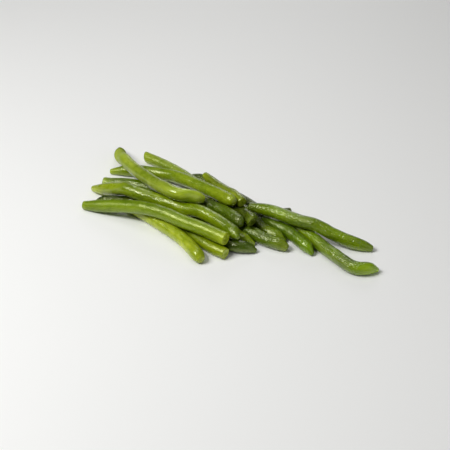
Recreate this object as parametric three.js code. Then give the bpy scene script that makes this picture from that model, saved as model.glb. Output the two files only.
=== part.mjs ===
import * as THREE from 'three';

// A loose pile of cooked, trimmed green beans lying on a flat surface.
// Millimetres, Z up. Left ends are toward -X, the viewer's side is -Y.

const flats = 12; // flats round one bean
const stations = 45; // resting stations along one bean
const ringStep = 2; // every second station carries a ring of the solid
const clearance = 0.38; // left free between two beans that touch
const footPress = 0.25; // how far a bean on the floor is pressed flat
const settleRounds = 420; // rounds of falling and pushing apart
const quietRounds = 120; // last rounds, without falling
const firstFall = 0.12; // drop in the first round
const lastFall = 0.02; // drop in the last round, which sets the sag
const smoothings = 4; // times a bean's kinks are smoothed in one round
const pull = 0.03; // share of the sideways slip taken back in one round
const stiffness = 0.45; // share of each kink smoothed out in one round
const seedPitch = 9.5; // distance between two seeds
const seedSwell = 0.012; // swelling over a seed, as a share of the radius
const slantReach = 9; // how far from a slanted cut its rings still lean
const capShare = 0.7; // radius of the small ring in an end face, as a share
const capReach = 0.7; // how far that ring stands out, as a share of the dome

// Skin colours, from the yellow-green beans on the left to the dark ones.
const shades = {
  light: 0x8c9f38,
  mid: 0x7a8f2c,
  dark: 0x5f7420,
};
const skinRoughness = 0.35;

// Shape of an end: share of the full radius left at the very end, the length
// over which the bean thickens to its full radius, and how far the middle of
// the end face stands out, as a share of the radius there.
const endShapes = {
  cut: { share: 0.93, length: 3, dome: 0.04 },
  thin: { share: 0.64, length: 26, dome: 0.05 },
  taper: { share: 0.45, length: 26, dome: 0.6 },
  tip: { share: 0.42, length: 11, dome: 0.8 },
  round: { share: 0.55, length: 16, dome: 0.7 },
  slim: { share: 0.5, length: 21, dome: 0.7 },
  blunt: { share: 0.62, length: 8, dome: 0.5 },
  stub: { share: 0.72, length: 6, dome: 0.6 },
};

// Each bean: the points its middle passes through, from the left end to the
// right end, its thickness, and the shape of both ends. The beans lie on one
// another in about this order, the lowest first. Where an end is cut at a
// slant, slants gives its slope sideways and upwards, for both ends.
const beans = [
  {
    name: 'bean_front_left_low',
    route: [[-68, 20, 6.5], [-48.4, -0.2, 5], [-28.7, -22.3, 5], [-16.2, -43.8, 5]],
    width: 9.2, ends: ['thin', 'stub'], shade: 'light',
  },
  {
    name: 'bean_front_cut_low',
    route: [[-41, 12, 5], [-24, -13, 4], [-12.7, -27.1, 5], [0.3, -38.5, 5]],
    width: 8.2, ends: ['thin', 'cut'], shade: 'mid',
  },
  {
    name: 'bean_front_dark_tip',
    route: [[-22, 4, 4.2], [-12, -12, 5], [1.1, -28.2, 5], [19.9, -32, 4]],
    width: 8.7, ends: ['thin', 'tip'], shade: 'dark',
  },
  {
    name: 'bean_back_cut_low',
    route: [[-58.6, 83, 4], [-43.4, 70.9, 5], [-24.9, 51.8, 6.5], [-8, 28, 4.2]],
    width: 8.0, ends: ['cut', 'thin'], shade: 'light',
    slants: [[-0.3, -0.35], [0, 0]],
  },
  {
    name: 'bean_left_hidden_tip',
    route: [[-91, 25, 4], [-70, 23, 5], [-45, 21, 5], [-20, 11, 5]],
    width: 8.2, ends: ['tip', 'thin'], shade: 'dark',
  },
  {
    name: 'bean_middle_short_nub',
    route: [[10.6, -1.5, 4], [15.2, -16.3, 4.5], [26.5, -23.4, 5.2], [41, -30.4, 4]],
    width: 8.8, ends: ['thin', 'blunt'], shade: 'dark',
  },
  {
    name: 'bean_middle_slim_tip',
    route: [[-1, 21, 5], [13, 7, 5], [27.5, -10.9, 5], [42.9, -18, 4]],
    width: 8.1, ends: ['cut', 'tip'], shade: 'dark',
  },
  {
    name: 'bean_right_long_front',
    route: [[37, 4, 5], [53.3, -17, 5], [72.1, -41.2, 5], [85.3, -54.8, 5], [98.8, -53.6, 4]],
    width: 9.0, ends: ['cut', 'tip'], shade: 'dark',
  },
  {
    name: 'bean_back_dark_nub',
    route: [[-28, 55.3, 4], [-2, 38, 4], [19.7, 15.3, 4], [32.7, 7.1, 4], [45.4, 14, 5.5]],
    width: 7.4, ends: ['round', 'thin'], shade: 'dark',
  },
  {
    name: 'bean_front_small_tip',
    route: [[-6, 0, 4], [6.6, -14, 5], [20.4, -22.4, 9]],
    width: 8.4, ends: ['cut', 'tip'], shade: 'dark',
  },
  {
    name: 'bean_right_short_front',
    route: [[26, 5, 10], [35, -6, 8], [43.2, -13, 7], [52.7, -24.9, 5], [57.5, -35.4, 4]],
    width: 8.8, ends: ['thin', 'tip'], shade: 'dark',
  },
  {
    name: 'bean_right_long_back',
    route: [[16.7, 6.7, 11], [31.9, -2.8, 14], [56, -17.3, 11], [79.4, -26, 7], [97.4, -30.3, 4]],
    width: 8.8, ends: ['thin', 'round'], shade: 'dark',
  },
  {
    name: 'bean_middle_dark_cut',
    route: [[-4, 20, 13.5], [8.3, 9.4, 12], [18.7, -15, 12]],
    width: 8.6, ends: ['cut', 'cut'], shade: 'dark',
    slants: [[0, 0], [-0.7, 0.4]],
  },
  {
    name: 'bean_front_long',
    route: [[-99, 20.2, 5], [-69.7, 9.1, 11], [-46.4, -2.9, 13], [-19.5, -19.9, 11.5], [0.9, -33, 12]],
    width: 9.3, ends: ['thin', 'cut'], shade: 'light',
  },
  {
    name: 'bean_left_long_back',
    route: [[-88.7, 43.3, 4], [-65.2, 42.8, 9], [-29.7, 26.8, 12], [-0.8, 8.4, 12], [16.8, -11.7, 12.7]],
    width: 8.7, ends: ['cut', 'stub'], shade: 'dark',
  },
  {
    name: 'bean_left_long_front',
    route: [[-92.4, 45.1, 4], [-63.6, 22.7, 11.3], [-36.4, 13.3, 13], [-7, -10.2, 13], [3.4, -22.3, 12], [8.3, -31.1, 12]],
    width: 9.3, ends: ['slim', 'tip'], shade: 'mid',
  },
  {
    name: 'bean_back_short',
    route: [[-13.9, 48.8, 9], [-2.7, 32.9, 15], [13.1, 9.9, 21]],
    width: 7.7, ends: ['thin', 'cut'], shade: 'mid',
  },
  {
    name: 'bean_top_straight',
    route: [[-83.3, 65.7, 4], [-61.1, 62.5, 6], [-35.9, 53.7, 9], [-9.4, 25.5, 16], [5, 6.2, 20]],
    width: 9.1, ends: ['taper', 'stub'], shade: 'mid',
  },
  {
    name: 'bean_top_hooked',
    route: [[-79.4, 95.4, 8], [-75, 70.3, 13], [-55.7, 38.5, 16], [-33, 9.8, 20], [-14.5, 13.8, 20]],
    width: 9.3, ends: ['slim', 'blunt'], shade: 'light',
  },
];

const smooth = (x) => x * x * (3 - 2 * x);

// Radius at a distance from one end, for one kind of end.
function endShare(kind, distance) {
  const { share, length } = endShapes[kind];
  const along = THREE.MathUtils.clamp(distance / length, 0, 1);
  return share + (1 - share) * Math.sqrt(smooth(along) * (2 - smooth(along)));
}

// Stations with the place of the middle and the radius there.
function layOut(bean) {
  const points = bean.route.map(([x, y, z]) => new THREE.Vector3(x, y, z));
  const curve = new THREE.CatmullRomCurve3(points, false, 'centripetal');
  const length = curve.getLength();
  const middles = curve.getSpacedPoints(stations - 1);
  const radii = middles.map((_, i) => {
    const distance = (length * i) / (stations - 1);
    const swell = 1 + seedSwell * Math.cos((2 * Math.PI * distance) / seedPitch);
    const ends = endShare(bean.ends[0], distance) * endShare(bean.ends[1], length - distance);
    return (bean.width / 2) * swell * ends;
  });
  return { ...bean, length, start: middles.map((p) => p.clone()), middles, radii };
}

// Takes kinks out of the way a bean has moved, so that it tilts and bends
// softly, and draws it back over its route.
function stiffen(bean) {
  const moved = bean.middles.map((p, i) => p.clone().sub(bean.start[i]));
  const last = stations - 1;
  const middle = new THREE.Vector3();
  for (let k = 0; k < smoothings * stations; k++) {
    const i = k % stations;
    if (i === 0) {
      middle.copy(moved[1]).multiplyScalar(2).sub(moved[2]);
    } else if (i === last) {
      middle.copy(moved[last - 1]).multiplyScalar(2).sub(moved[last - 2]);
    } else {
      middle.copy(moved[i - 1]).add(moved[i + 1]).multiplyScalar(0.5);
    }
    moved[i].lerp(middle, stiffness);
  }
  moved.forEach((shift, i) => {
    shift.x *= 1 - pull;
    shift.y *= 1 - pull;
    bean.middles[i].copy(bean.start[i]).add(shift);
  });
}

// Pushes two beans apart wherever they come closer than the clearance.
function pushApart(one, other) {
  const away = new THREE.Vector3();
  for (let i = 0; i < stations; i++) {
    for (let j = 0; j < stations; j++) {
      const reach = one.radii[i] + other.radii[j] + clearance;
      away.copy(one.middles[i]).sub(other.middles[j]);
      const distance = away.length();
      if (distance >= reach) {
        continue;
      }
      away.multiplyScalar((0.5 * (reach - distance)) / distance);
      one.middles[i].add(away);
      other.middles[j].sub(away);
    }
  }
}

// Holds a bean up on the flat surface it lies on.
function keepAbove(bean) {
  bean.middles.forEach((p, i) => {
    p.z = Math.max(p.z, bean.radii[i] - footPress);
  });
}

function drop(bean, fall) {
  bean.middles.forEach((p) => {
    p.z -= fall;
  });
}

const laid = beans.map(layOut);
for (let round = 0; round < settleRounds + quietRounds; round++) {
  if (round < settleRounds) {
    const fall = THREE.MathUtils.lerp(firstFall, lastFall, round / settleRounds);
    laid.forEach((bean) => drop(bean, fall));
    laid.forEach(stiffen);
  }
  laid.forEach((one, i) => {
    laid.slice(i + 1).forEach((other) => pushApart(one, other));
  });
  laid.forEach(keepAbove);
}

// Direction of a bean at one of its stations.
function heading(bean, i) {
  const before = bean.middles[Math.max(i - 1, 0)];
  const after = bean.middles[Math.min(i + 1, stations - 1)];
  return after.clone().sub(before).normalize();
}

// Distances of a station from the left and the right end.
function fromEnds(bean, i) {
  const step = bean.length / (stations - 1);
  return [i * step, (stations - 1 - i) * step];
}

// A smaller ring or a point in the rounded left (-1) or right (1) end, given as
// a share of the end's radius and of the distance by which it stands out.
function capRing(bean, end, share, reach) {
  const i = end < 0 ? 0 : stations - 1;
  const along = heading(bean, i);
  const out = end * reach * endShapes[bean.ends[end < 0 ? 0 : 1]].dome * bean.radii[i];
  const middle = bean.middles[i].clone().addScaledVector(along, out);
  return { middle, along, radius: share * bean.radii[i], fromEnds: fromEnds(bean, i) };
}

// How far a point of a slanted end lies along the bean from its ring's middle,
// for a point that lies across and above the middle by the given distances.
function slide(bean, ring, across, above) {
  return (bean.slants ?? []).reduce((sum, [sideways, upwards], end) => {
    const near = 1 - THREE.MathUtils.clamp(ring.fromEnds[end] / slantReach, 0, 1);
    return sum + smooth(near) * (sideways * across + upwards * above);
  }, 0);
}

// Closed skin: rings round the middle line, closer at the ends, and a point in
// each end face.
function skin(bean) {
  const rings = [capRing(bean, -1, capShare, capReach)];
  for (let i = 0; i < stations; i++) {
    if (i % ringStep === 0 || i === 1 || i === stations - 2) {
      rings.push({
        middle: bean.middles[i],
        along: heading(bean, i),
        radius: bean.radii[i],
        fromEnds: fromEnds(bean, i),
      });
    }
  }
  rings.push(capRing(bean, 1, capShare, capReach));
  const positions = [];
  const place = (p) => positions.push(p.x, p.y, Math.max(p.z, 0));
  place(capRing(bean, -1, 0, 1).middle);
  for (const ring of rings) {
    const { middle, along, radius } = ring;
    const side = new THREE.Vector3(-along.y, along.x, 0).normalize();
    const up = along.clone().cross(side);
    for (let k = 0; k < flats; k++) {
      const angle = ((k + 0.5) * 2 * Math.PI) / flats;
      const across = Math.sin(angle) * radius;
      const above = Math.cos(angle) * radius;
      const p = middle.clone().addScaledVector(side, across).addScaledVector(up, above);
      place(p.addScaledVector(along, slide(bean, ring, across, above)));
    }
  }
  place(capRing(bean, 1, 0, 1).middle);
  const faces = [];
  const last = rings.length - 1;
  const at = (ring, k) => 1 + ring * flats + (k % flats);
  for (let k = 0; k < flats; k++) {
    faces.push(0, at(0, k), at(0, k + 1));
    for (let ring = 0; ring < last; ring++) {
      faces.push(at(ring, k), at(ring + 1, k + 1), at(ring, k + 1));
      faces.push(at(ring, k), at(ring + 1, k), at(ring + 1, k + 1));
    }
    faces.push(1 + (last + 1) * flats, at(last, k + 1), at(last, k));
  }
  const geometry = new THREE.BufferGeometry();
  geometry.setAttribute('position', new THREE.Float32BufferAttribute(positions, 3));
  geometry.setIndex(faces);
  geometry.computeVertexNormals();
  return geometry;
}

const bundle = new THREE.Group();
for (const bean of laid) {
  const material = new THREE.MeshStandardMaterial({
    color: shades[bean.shade],
    roughness: skinRoughness,
    metalness: 0,
  });
  const mesh = new THREE.Mesh(skin(bean), material);
  mesh.name = bean.name;
  bundle.add(mesh);
}

// The middle of the bundle's footprint becomes the origin.
const box = new THREE.Box3().setFromObject(bundle);
const middle = box.getCenter(new THREE.Vector3());
for (const mesh of bundle.children) {
  mesh.geometry.translate(-middle.x, -middle.y, -box.min.z);
}

export default bundle;
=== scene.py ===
import bmesh
import bpy
import math
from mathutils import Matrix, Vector, noise


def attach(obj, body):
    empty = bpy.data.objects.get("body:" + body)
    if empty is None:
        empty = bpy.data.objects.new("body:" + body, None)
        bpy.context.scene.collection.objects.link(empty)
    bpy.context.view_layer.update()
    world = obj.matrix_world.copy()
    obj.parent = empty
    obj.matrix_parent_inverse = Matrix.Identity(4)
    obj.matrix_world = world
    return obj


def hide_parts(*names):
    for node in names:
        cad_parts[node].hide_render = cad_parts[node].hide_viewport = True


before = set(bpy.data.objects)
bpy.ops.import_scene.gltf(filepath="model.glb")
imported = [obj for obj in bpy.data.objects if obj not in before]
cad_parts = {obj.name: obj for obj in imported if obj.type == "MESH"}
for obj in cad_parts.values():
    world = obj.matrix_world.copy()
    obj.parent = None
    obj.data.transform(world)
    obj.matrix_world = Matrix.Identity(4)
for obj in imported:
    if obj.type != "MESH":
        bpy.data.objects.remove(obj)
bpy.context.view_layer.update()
mm = 0.001
white = (1, 1, 1, 1)

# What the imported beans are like: corners in one ring, and rings that make up
# each end, of which only the second is a station
cadBean = {"flats": 12, "endRings": 3}

# How every bean is built. Lengths are in millimetres.
beanBuild = {
    "around": 56,  # faces round one bean
    "step": 0.7,  # distance between two rings of the skin
    "endStep": 0.25,  # the same close to an end
    "endZone": 3.0,  # how far the close rings reach
    "aimStep": 0.1,  # how many stations on either side give a ring its direction
    "seamRidge": 0.025,  # height of the ridge along each seam
    "seamWidth": 0.16,  # half width of that ridge, in radians
    "slantReach": 9,  # how far from a slanted cut the skin still leans
    "glowReach": 4.5,  # how far the paler flesh shines through beside a trimmed end
    "capRings": (0.96, 0.91, 0.85, 0.78, 0.70, 0.62, 0.53, 0.44, 0.35, 0.26, 0.17, 0.08),
}

# Unevenness of the skin: heights, and sizes across and along the bean, in
# millimetres. It is worked out on a bean of one radius.
skinRelief = {
    "radius": 4, "seedShift": 37, "sink": 0.04,
    "lump": 0.10, "lumpAcross": 9, "lumpAlong": 14,
    "wrinkle": 0.03, "wrinkleAcross": 2.6, "wrinkleAlong": 1.5,
}

# Relief of a cut face: heights in millimetres, places and widths as shares of
# the radius
cutRelief = {
    "rim": 0.12, "rimWidth": 0.12,
    "groove": 0.16, "grooveAt": 0.62, "grooveWidth": 0.10,
    "slit": 0.25, "slitEnd": 0.55, "slitFade": 0.25, "slitWidth": 0.10,
    "grain": 0.10, "grainScale": 3,
}

# Radius left at the very end, length of the taper, and how far the end
# stands out, the way the CAD solids have them.
endShapes = {
    "cut": {"share": 0.93, "taper": 3, "dome": 0.03, "flat": True},
    "thin": {"share": 0.64, "taper": 26, "dome": 0.03, "flat": True},
    "taper": {"share": 0.45, "taper": 26, "dome": 0.6, "flat": False},
    "tip": {"share": 0.42, "taper": 11, "dome": 0.8, "flat": False},
    "round": {"share": 0.55, "taper": 16, "dome": 0.7, "flat": False},
    "slim": {"share": 0.5, "taper": 21, "dome": 0.7, "flat": False},
    "blunt": {"share": 0.62, "taper": 8, "dome": 0.5, "flat": False},
    "stub": {"share": 0.72, "taper": 6, "dome": 0.6, "flat": False},
}


def colour(text):
    # "8CA037" as the numbers a shader takes
    parts = [int(text[i:i + 2], 16) / 255 for i in (0, 2, 4)]
    return tuple(c / 12.92 if c < 0.04045 else ((c + 0.055) / 1.055) ** 2.4 for c in parts) + (1.0,)


def ease(x):
    x = min(max(x, 0.0), 1.0)
    return x * x * (3 - 2 * x)


def endShare(kind, distance):
    shape = endShapes[kind]
    x = ease(distance / shape["taper"])
    return shape["share"] + (1 - shape["share"]) * math.sqrt(x * (2 - x))


def readStations(nodeName):
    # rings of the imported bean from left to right, as (x, y, z, radius) in mm
    bm = bmesh.new()
    bm.from_mesh(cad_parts[nodeName].data)
    bmesh.ops.remove_doubles(bm, verts=bm.verts, dist=1e-6)
    bm.verts.index_update()
    poles = [v for v in bm.verts if len(v.link_edges) == cadBean["flats"]]
    ring = [min(poles, key=lambda v: v.co.x)]
    seen = set(ring)
    stations = []
    while True:
        # sorted, so that the sums come out the same in each run
        ring = {e.other_vert(v) for v in ring for e in v.link_edges} - seen
        ring = sorted(ring, key=lambda v: v.index)
        if len(ring) < 3:
            break
        seen.update(ring)
        # the upper corners, because the lowest beans are flat underneath
        top = sorted(ring, key=lambda v: -v.co.z)[:cadBean["flats"] // 2]
        middle = sum((v.co for v in ring), Vector()) / len(ring)
        if stations:
            along = (middle - before).normalized()
        else:
            along = Vector((1, 0, 0))
        before = middle
        radius = max((v.co - middle).cross(along).length for v in top)
        stations.append(Vector((*middle, radius)) / mm)
    bm.free()
    # leaves out the small rings in the end faces and the extra ones beside them
    inner = stations[cadBean["endRings"]:-cadBean["endRings"]]
    return [stations[1], *inner, stations[-2]]


def between(stations, t):
    # smooth curve through the stations, t counts them
    last = len(stations) - 1
    i = min(int(t), last - 1)
    f = t - i
    b, c = stations[i], stations[i + 1]
    a = stations[i - 1] if i else 2 * b - c
    d = stations[i + 2] if i + 2 <= last else 2 * c - b
    return 0.5 * (2 * b + (c - a) * f + (2 * a - 5 * b + 4 * c - d) * f * f
                  + (3 * b - 3 * c + d - a) * f * f * f)


def extrudeLoop(bm, edges):
    grown = bmesh.ops.extrude_edge_only(bm, edges=edges)["geom"]
    verts = [g for g in grown if isinstance(g, bmesh.types.BMVert)]
    fresh = set(verts)
    loop = [g for g in grown if isinstance(g, bmesh.types.BMEdge) and fresh.issuperset(g.verts)]
    return verts, loop


def straightBean(length):
    # a straight bean of radius 1 along Z: its rings, then its two closed ends
    bm = bmesh.new()
    build = beanBuild
    zone = min(build["endZone"], length / 4)
    marks = [i * build["endStep"] for i in range(int(zone / build["endStep"]) + 1)]
    inner = max(2, round((length - 2 * marks[-1]) / build["step"]))
    steps = marks + [marks[-1] + (length - 2 * marks[-1]) * i / inner for i in range(1, inner)]
    steps += [length - z for z in reversed(marks)]
    bmesh.ops.create_circle(bm, segments=build["around"], radius=1)
    firstLoop = list(bm.edges)
    loop = firstLoop
    for low, high in zip(steps, steps[1:]):
        verts, loop = extrudeLoop(bm, loop)
        bmesh.ops.translate(bm, verts=verts, vec=(0, 0, high - low))
    for edges in (firstLoop, loop):
        rho = 1.0
        for share in build["capRings"]:
            verts, edges = extrudeLoop(bm, edges)
            bmesh.ops.scale(bm, verts=verts, vec=(share / rho, share / rho, 1))
            rho = share
        lid = bmesh.ops.edgeloop_fill(bm, edges=edges)["faces"]
        bmesh.ops.poke(bm, faces=lid)
    bmesh.ops.recalc_face_normals(bm, faces=bm.faces)
    return bm


def skinHeight(angle, z, turn, seed):
    # slow unevenness and wrinkles, and how much of a seam there is
    form = skinRelief
    around = form["radius"]
    place = Vector((around * math.cos(angle), around * math.sin(angle), z + form["seedShift"] * seed))
    wide, deep = form["lumpAcross"], form["lumpAlong"]
    lump = noise.noise(Vector((place.x / wide, place.y / wide, place.z / deep)))
    wide, deep = form["wrinkleAcross"], form["wrinkleAlong"]
    wrinkle = noise.noise(Vector((place.x / wide, place.y / wide, place.z / deep)))
    seamPart = 0.0
    for seamAngle in (turn, turn + math.pi):
        off = (angle - seamAngle + math.pi) % (2 * math.pi) - math.pi
        seamPart += math.exp(-(off / beanBuild["seamWidth"]) ** 2)
    return form["lump"] * lump + form["wrinkle"] * wrinkle, seamPart


def cutHeight(x, y, rho, turn, seed):
    # rim, groove and slit of a trimmed end
    form = cutRelief
    wall = ease((1 - rho) / form["rimWidth"])
    groove = math.exp(-((rho - form["grooveAt"]) / form["grooveWidth"]) ** 2)
    slitAcross = x * math.sin(turn) - y * math.cos(turn)
    slit = math.exp(-(slitAcross / form["slitWidth"]) ** 2) * ease((form["slitEnd"] - rho) / form["slitFade"])
    out = form["rim"] * wall - form["groove"] * groove - form["slit"] * slit
    scale = form["grainScale"]
    out += form["grain"] * noise.noise(Vector((x * scale, y * scale, seed)))
    return out


def bendBean(bm, stations, length, look):
    # takes each point of the straight bean to its place, and keeps the straight
    # place in skinPlace, so that the patterns follow the skin
    build = beanBuild
    last = len(stations) - 1
    skinPlace = bm.verts.layers.float_vector.new("skinPlace")
    cutFace = bm.verts.layers.float.new("cutFace")
    cutRadius = bm.verts.layers.float.new("cutRadius")
    endGlow = bm.verts.layers.float.new("endGlow")
    seamLine = bm.verts.layers.float.new("seamLine")
    alongBean = bm.verts.layers.float.new("alongBean")
    leftEnd, rightEnd = look["ends"]
    seed = look["seed"]
    body = []
    for i, s in enumerate(stations):
        z = length * i / last
        body.append(s.w / (endShare(leftEnd, z) * endShare(rightEnd, length - z)))
    spine = {}
    for v in bm.verts:
        x, y, z = v.co
        rho = math.hypot(x, y)
        angle = math.atan2(y, x)
        if z not in spine:
            t = last * z / length
            along = (between(stations, min(t + build["aimStep"], last))
                     - between(stations, max(t - build["aimStep"], 0))).xyz.normalized()
            side = Vector((-along.y, along.x, 0)).normalized()
            i = min(int(t), last - 1)
            full = body[i] + (body[i + 1] - body[i]) * (t - i)
            share = endShare(leftEnd, z) * endShare(rightEnd, length - z)
            spine[z] = (between(stations, t).xyz, along, side, along.cross(side), full * share)
        here, along, side, up, radius = spine[z]
        turn = look["seam"] + look["twist"] * z
        relief, seamPart = skinHeight(angle, z, turn, seed)
        relief += build["seamRidge"] * seamPart
        radius += relief - skinRelief["sink"]
        left = z < length / 2
        shape = endShapes[leftEnd if left else rightEnd]
        out = 0.0
        # only inside an end face, not on its edge
        if rho < 0.999:
            if shape["flat"]:
                out = cutHeight(x, y, rho, turn, seed)
            out += shape["dome"] * radius * math.sqrt(max(1 - rho * rho, 0))
        place = here + (side * math.sin(angle) + up * math.cos(angle)) * rho * radius
        place += along * (-out if left else out)
        # a cut at a slant leans sideways and upwards
        for slant, gap in zip(look["slants"], (z, length - z)):
            lean = ease(1 - gap / build["slantReach"]) * rho * radius
            place += along * lean * (slant[0] * math.sin(angle) + slant[1] * math.cos(angle))
        place.z = max(place.z, 0.0)
        v.co = place * mm
        v[skinPlace] = Vector((x * radius, y * radius, z + out)) * mm
        v[cutFace] = ease((1 - rho) / cutRelief["rimWidth"]) if shape["flat"] else 0.0
        v[cutRadius] = rho
        v[endGlow] = max(look["glow"][0] * math.exp(-z / build["glowReach"]),
                         look["glow"][1] * math.exp((z - length) / build["glowReach"]))
        v[seamLine] = seamPart
        v[alongBean] = z / length


# Patterns of the skin: scale per metre, stretch along the bean and detail, and
# for three of them the depth of their bumps in metres
skinPatterns = {
    "mottle": {"scale": 110, "stretch": 0.45, "detail": 2.0},
    "blotch": {"scale": 330, "stretch": 0.6, "detail": 3.0},
    "fibres": {"scale": 1100, "stretch": 0.05, "detail": 3.0},
    "swell": {"scale": 400, "stretch": 0.7, "detail": 2.0, "bump": 0.0002},
    "creases": {"scale": 700, "stretch": 2.0, "detail": 1.5, "bump": 0.0002},
    "pimples": {"scale": 800, "stretch": 1.0, "detail": 0.0, "bump": 0.00028},
}

# What is the same in every skin: how strongly blotches and fibres show and how
# dark and pale they make it, the roughness and the light inside the flesh
skinShade = {
    "blotchShare": 0.6, "blotchDark": (0.80, 0.84, 0.7, 1), "blotchPale": (1.18, 1.12, 1.2, 1),
    "fibreShare": 0.35, "fibrePale": (1.2, 1.15, 1.4, 1),
    "smoother": 0.06, "rougher": 0.12,
    "dryRough": 0.9, "dryBlend": 0.15,
    "shineTint": (0.95, 1.0, 0.3, 1),
    "inside": 0.2, "insideReach": (1.0, 1.0, 0.2), "insideScale": 0.0015,
}


def node(tree, kind, place, **values):
    made = tree.nodes.new(kind)
    made.location = place
    for name, value in values.items():
        if name in made.inputs:
            made.inputs[name].default_value = value
        else:
            setattr(made, name, value)
    return made


def beanSkin(name, look):
    # wet green skin: mottled, with fibres along it, fine creases across it,
    # small pimples that break up the shine, a paler seam and a pale cut face
    skin = bpy.data.materials.new(name)
    skin.use_nodes = True
    tree = skin.node_tree
    link = tree.links.new
    shader = tree.nodes["Principled BSDF"]
    shade = skinShade

    def attribute(layer, output, y):
        return node(tree, "ShaderNodeAttribute", (-1700, y), attribute_name=layer).outputs[output]

    def pattern(patternName, y, kind="ShaderNodeTexNoise"):
        form = skinPatterns[patternName]
        mapping = node(tree, "ShaderNodeMapping", (-1480, y))
        mapping.inputs["Scale"].default_value = (1, 1, form["stretch"])
        mapping.inputs["Location"].default_value = (0.3, look["seed"], 0.7)
        link(place, mapping.inputs["Vector"])
        made = node(tree, kind, (-1280, y), Scale=form["scale"], Detail=form["detail"])
        link(mapping.outputs["Vector"], made.inputs["Vector"])
        return made.outputs[0]

    def ramp(source, stops, y):
        made = node(tree, "ShaderNodeValToRGB", (-1000, y))
        elements = made.color_ramp.elements
        while len(elements) < len(stops):
            elements.new(0.5)
        for element, (position, tone) in zip(elements, stops):
            element.position = position
            element.color = tone
        link(source, made.inputs["Fac"])
        return made.outputs["Color"]

    def reckon(operation, first, second, y):
        made = node(tree, "ShaderNodeMath", (-850, y), operation=operation)
        for socket, value in zip(made.inputs, (first, second)):
            if isinstance(value, bpy.types.NodeSocket):
                link(value, socket)
            else:
                socket.default_value = value
        return made.outputs[0]

    def blend(factor, first, second, y, kind="MIX"):
        made = node(tree, "ShaderNodeMix", (-550, y), data_type="RGBA", blend_type=kind)
        for socket, value in ((made.inputs["Factor"], factor), (made.inputs[6], first),
                              (made.inputs[7], second)):
            if isinstance(value, bpy.types.NodeSocket):
                link(value, socket)
            else:
                socket.default_value = value
        return made.outputs[2]

    def spread(source, low, high, fromValue, toValue, y):
        made = node(tree, "ShaderNodeMapRange", (-550, y))
        made.inputs["From Min"].default_value = low
        made.inputs["From Max"].default_value = high
        made.inputs["To Min"].default_value = fromValue
        made.inputs["To Max"].default_value = toValue
        link(source, made.inputs["Value"])
        return made.outputs["Result"]

    place = attribute("skinPlace", "Vector", 0)
    face = attribute("cutFace", "Fac", -300)
    radial = attribute("cutRadius", "Fac", -400)
    seam = attribute("seamLine", "Fac", -500)
    along = attribute("alongBean", "Fac", -700)
    glow = attribute("endGlow", "Fac", -900)
    mottle = pattern("mottle", 500)
    blotch = pattern("blotch", 300)
    fibres = pattern("fibres", 100)
    swell = pattern("swell", -100)
    creases = pattern("creases", -300)
    pimples = pattern("pimples", -500, "ShaderNodeTexVoronoi")

    base = ramp(mottle, [(0.34, colour(look["deep"])), (0.66, colour(look["pale"]))], 500)
    cloud = ramp(blotch, [(0.35, shade["blotchDark"]), (0.65, shade["blotchPale"])], 300)
    base = blend(shade["blotchShare"], base, cloud, 500, "MULTIPLY")
    streak = ramp(fibres, [(0.42, white), (0.72, shade["fibrePale"])], 100)
    base = blend(shade["fibreShare"], base, streak, 300, "MULTIPLY")
    # painted light and shade at the two ends: the tints brighten or darken the skin
    # there and fade out towards the middle of the bean
    paintedEndLightShade = ramp(along, [(0.0, (*look["left"], 1.0)), (look["reach"], white), (1 - look["reach"], white),
                         (1.0, (*look["right"], 1.0))], -100)
    base = blend(1.0, base, paintedEndLightShade, 150, "MULTIPLY")
    base = blend(reckon("MULTIPLY", seam, look["seamPale"], -350), base, colour(look["face"]), 0)
    base = blend(glow, base, colour(look["glowColour"]), -80)
    flesh = ramp(radial, [(0.35, colour(look["core"])), (0.60, colour(look["ring"])),
                          (0.82, colour(look["face"]))], -250)
    base = blend(face, base, flesh, -150)
    link(base, shader.inputs["Base Color"])

    smoothest = look["rough"] - shade["smoother"]
    roughest = look["rough"] + shade["rougher"]
    rough = spread(blotch, 0.3, 0.7, smoothest, roughest, -350)
    if look["dryTo"]:
        # a left end that has dried: it is rougher and has no film of water
        start = look["dryTo"] - shade["dryBlend"]
        dried = spread(along, start, look["dryTo"], shade["dryRough"], 0.0, -600)
        rough = reckon("MAXIMUM", dried, rough, -600)
        film = spread(along, start, look["dryTo"], 0.0, look["wet"], -750)
        link(film, shader.inputs["Coat Weight"])
    link(rough, shader.inputs["Roughness"])

    normal = None
    bumps = (("swell", swell, -500), ("creases", creases, -650), ("pimples", pimples, -800))
    for patternName, height, y in bumps:
        distance = skinPatterns[patternName]["bump"] * look["relief"]
        made = node(tree, "ShaderNodeBump", (-300, y), Strength=1.0, Distance=distance)
        link(height, made.inputs["Height"])
        if normal:
            link(normal, made.inputs["Normal"])
        normal = made.outputs["Normal"]
    link(normal, shader.inputs["Normal"])
    link(normal, shader.inputs["Coat Normal"])
    shader.inputs["Specular IOR Level"].default_value = look["sheen"]
    shader.inputs["Specular Tint"].default_value = shade["shineTint"]
    shader.inputs["Coat Weight"].default_value = look["wet"]
    shader.inputs["Coat Roughness"].default_value = look["film"]
    shader.inputs["Subsurface Weight"].default_value = shade["inside"]
    shader.inputs["Subsurface Radius"].default_value = shade["insideReach"]
    shader.inputs["Subsurface Scale"].default_value = shade["insideScale"]
    return skin


def makeBean(nodeName, look):
    stations = readStations(nodeName)
    length = sum((b.xyz - a.xyz).length for a, b in zip(stations, stations[1:]))
    bm = straightBean(length)
    bendBean(bm, stations, length, look)
    mesh = bpy.data.meshes.new(nodeName + "_skin")
    bm.to_mesh(mesh)
    bm.free()
    mesh.shade_smooth()
    bean = bpy.data.objects.new(nodeName + "_skin", mesh)
    bpy.context.scene.collection.objects.link(bean)
    mesh.materials.append(beanSkin(nodeName + "_skin", look))
    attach(bean, "root")
    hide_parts(nodeName)
    print("made", nodeName, len(mesh.polygons), "faces,", round(length, 1), "mm")
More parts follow.
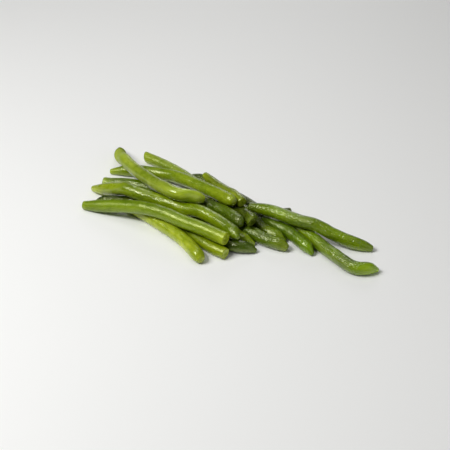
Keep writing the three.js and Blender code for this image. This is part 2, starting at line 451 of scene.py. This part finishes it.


# What a bean has unless its own settings say otherwise. Left and right tint the
# skin at the two ends with painted light and shade, reach is how far in they run,
# as a share, seam and twist turn the seams, in radians and radians per
# millimetre, and dryTo is where a dried left end stops, as a share.
wetSkin = {
    "face": "A6B81C", "ring": "B2C23C", "core": "98AC12", "glowColour": "A4B61A", "glow": (0, 0),
    "slants": ((0, 0), (0, 0)), "left": (1, 1, 1), "right": (1, 1, 1), "reach": 0.25,
    "seamPale": 0.12, "rough": 0.27, "wet": 0.85, "film": 0.1, "relief": 1.0, "sheen": 0.6, "dryTo": 0,
}

# The deep and pale colours and most of the end tints below were fitted by a
# program to colours measured in the photo.
# The left and right end tints of the beans below are painted light and shade.
makeBean("bean_front_left_low", {
    **wetSkin, "ends": ("thin", "stub"), "seam": 0.9, "twist": 0.006, "seed": 1,
    "deep": "889B14", "pale": "ADBB2B", "right": (0.87, 0.89, 0.55),
    "glow": (0, 0.3), "relief": 0.5, "film": 0.18, "wet": 0.6})
makeBean("bean_front_cut_low", {
    **wetSkin, "ends": ("thin", "cut"), "seam": 2.1, "twist": -0.004, "seed": 2,
    "deep": "596C03", "pale": "768903", "right": (1.52, 1.37, 1.90),
    "glow": (0, 0.25), "relief": 0.45, "film": 0.28, "wet": 0.45})
makeBean("bean_front_dark_tip", {
    **wetSkin, "ends": ("thin", "tip"), "seam": 1.4, "twist": 0.003, "seed": 3,
    "deep": "253803", "pale": "394E03", "right": (1.90, 1.90, 1.90),
    "glow": (0, 0.1), "relief": 0.6, "film": 0.18})
makeBean("bean_back_cut_low", {
    **wetSkin, "ends": ("cut", "thin"), "seam": 0.4, "twist": 0.004, "seed": 4,
    "slants": ((-0.3, -0.35), (0, 0)),
    "deep": "6F8419", "pale": "8C9F37", "left": (1.09, 1.07, 0.72),
    "glow": (0.5, 0), "relief": 0.45, "film": 0.22, "wet": 0.5})
makeBean("bean_left_hidden_tip", {
    **wetSkin, "ends": ("tip", "thin"), "seam": 2.6, "twist": 0.004, "seed": 5,
    "deep": "142303", "pale": "213303", "left": (1.88, 1.68, 1.90)})
makeBean("bean_middle_short_nub", {
    **wetSkin, "ends": ("thin", "blunt"), "seam": 0.2, "twist": -0.006, "seed": 6,
    "deep": "405703", "pale": "5D7803", "left": (1.90, 1.90, 1.90), "right": (1.10, 0.99, 0.55),
    "glow": (0, 0.3), "relief": 1.1})
makeBean("bean_middle_slim_tip", {
    **wetSkin, "ends": ("cut", "tip"), "seam": 1.0, "twist": 0.005, "seed": 7,
    "deep": "455803", "pale": "647A03", "right": (1.90, 1.90, 1.90)})
makeBean("bean_right_long_front", {
    **wetSkin, "ends": ("cut", "tip"), "seam": 1.9, "twist": 0.003, "seed": 8,
    "deep": "516803", "pale": "739005", "right": (1.90, 1.90, 1.90)})
makeBean("bean_back_dark_nub", {
    **wetSkin, "ends": ("round", "thin"), "seam": 0.7, "twist": 0.003, "seed": 9,
    "deep": "3A4812", "pale": "525F26"})
makeBean("bean_front_small_tip", {
    **wetSkin, "ends": ("cut", "tip"), "seam": 2.3, "twist": 0.003, "seed": 10,
    "deep": "667E05", "pale": "91AB15", "glow": (0, 0.2)})
makeBean("bean_right_short_front", {
    **wetSkin, "ends": ("thin", "tip"), "seam": 1.2, "twist": -0.005, "seed": 11,
    "deep": "3F5603", "pale": "5A7703", "left": (0.55, 0.55, 1.90), "right": (1.90, 1.90, 1.90),
    "relief": 0.7, "film": 0.12})
makeBean("bean_right_long_back", {
    **wetSkin, "ends": ("thin", "round"), "seam": 0.5, "twist": 0.003, "seed": 12,
    "deep": "587003", "pale": "7D9A03", "left": (0.55, 0.55, 0.55), "right": (0.85, 0.85, 0.55),
    "relief": 1.15})
makeBean("bean_middle_dark_cut", {
    **wetSkin, "ends": ("cut", "cut"), "seam": 1.6, "twist": 0.003, "seed": 13,
    "slants": ((0, 0), (-0.7, 0.4)),
    "deep": "2F3C03", "pale": "455403", "right": (1.90, 1.90, 1.90),
    # the darker face, ring and core of this bean are painted shade on its cut end
    "face": "5C6C10", "ring": "6C7C20", "core": "4C5C0C", "relief": 0.6, "film": 0.15})
makeBean("bean_front_long", {
    **wetSkin, "ends": ("thin", "cut"), "seam": 2.0, "twist": 0.002, "seed": 14,
    "deep": "5E7704", "pale": "768F0C", "left": (1.06, 1.06, 1.90), "right": (1.61, 1.43, 0.55),
    "glow": (0.4, 0.8), "relief": 0.5, "film": 0.28, "wet": 0.35})
makeBean("bean_left_long_back", {
    **wetSkin, "ends": ("cut", "stub"), "seam": 0.3, "twist": 0.003, "seed": 15,
    "deep": "374A03", "pale": "4F6703", "left": (1.90, 1.90, 1.90), "right": (1.39, 1.33, 1.90),
    "glow": (0.5, 0)})
makeBean("bean_left_long_front", {
    **wetSkin, "ends": ("slim", "tip"), "seam": 1.1, "twist": 0.004, "seed": 16,
    "deep": "698003", "pale": "8AA00C", "left": (1.46, 1.25, 1.90), "right": (0.56, 0.63, 0.55),
    "glow": (0.55, 0), "relief": 0.65, "film": 0.1, "wet": 0.8})
makeBean("bean_back_short", {
    **wetSkin, "ends": ("thin", "cut"), "seam": 2.4, "twist": 0.003, "seed": 17,
    "deep": "5E6D07", "pale": "7D8D1F", "left": (1.65, 1.57, 1.90), "right": (1.52, 1.48, 0.55),
    "glow": (0.35, 0), "relief": 0.5, "film": 0.15, "wet": 0.7})
makeBean("bean_top_straight", {
    **wetSkin, "ends": ("taper", "stub"), "seam": 0.8, "twist": -0.003, "seed": 18,
    "deep": "677E03", "pale": "889E16", "left": (0.92, 0.93, 1.63), "right": (1.13, 1.06, 0.78),
    "glow": (0.6, 0.35), "relief": 0.55, "film": 0.17, "wet": 0.65})
makeBean("bean_top_hooked", {
    **wetSkin, "ends": ("slim", "blunt"), "seam": 1.7, "twist": 0.004, "seed": 19,
    "deep": "7B8F18", "pale": "9CAD36", "left": (0.55, 0.55, 0.55), "right": (1.90, 1.90, 1.90),
    "glow": (0, 0.5), "relief": 0.35, "film": 0.12, "dryTo": 0.34, "sheen": 0.3, "wet": 0.8})

# Floor, light and camera, in metres and watts
studio = {"floor": "F5F5F3", "floorSize": 3, "floorRough": 0.7, "sky": 0.05}
softBoxes = {
    "keyLight": {"place": (-0.60, -0.20, 0.74), "power": 6.0, "size": 0.4},
    "glintLight": {"place": (-0.45, -0.35, 0.82), "power": 1.7, "size": 0.1},
    "topLight": {"place": (-0.05, 0.2, 0.95), "power": 1.3, "size": 0.5},
    "rimLight": {"place": (0.1, 0.85, 0.45), "power": 0.9, "size": 0.3},
    "sideLight": {"place": (0.75, -0.45, 0.45), "power": 1.6, "size": 0.9},
}
viewpoint = {"sensor": 36, "lens": 93.6, "place": (0.0, -0.67974, 0.46282), "tilt": 55}
bpy.context.scene.view_settings.view_transform = "Standard"

floorMesh = bpy.data.meshes.new("floor")
bm = bmesh.new()
bmesh.ops.create_grid(bm, x_segments=8, y_segments=8, size=studio["floorSize"])
bm.to_mesh(floorMesh)
bm.free()
floor = bpy.data.objects.new("floor", floorMesh)
bpy.context.scene.collection.objects.link(floor)
paper = bpy.data.materials.new("paleFloor")
paper.use_nodes = True
paper.node_tree.nodes["Principled BSDF"].inputs["Base Color"].default_value = colour(studio["floor"])
paper.node_tree.nodes["Principled BSDF"].inputs["Roughness"].default_value = studio["floorRough"]
floorMesh.materials.append(paper)

world = bpy.data.worlds.new("studio")
world.use_nodes = True
world.node_tree.nodes["Background"].inputs["Color"].default_value = white
world.node_tree.nodes["Background"].inputs["Strength"].default_value = studio["sky"]
bpy.context.scene.world = world

for boxName, look in softBoxes.items():
    lamp = bpy.data.lights.new(boxName, "AREA")
    lamp.energy = look["power"]
    lamp.size = look["size"]
    box = bpy.data.objects.new(boxName, lamp)
    box.location = look["place"]
    # every box points at the middle of the pile
    box.rotation_euler = (-Vector(look["place"])).to_track_quat("-Z", "Y").to_euler()
    bpy.context.scene.collection.objects.link(box)

view = bpy.data.cameras.new("camera")
view.sensor_width = viewpoint["sensor"]
view.lens = viewpoint["lens"]
camera = bpy.data.objects.new("camera", view)
camera.location = viewpoint["place"]
camera.rotation_euler = (math.radians(viewpoint["tilt"]), 0, 0)
bpy.context.scene.collection.objects.link(camera)
bpy.context.scene.camera = camera
print("floor, light and camera are set")
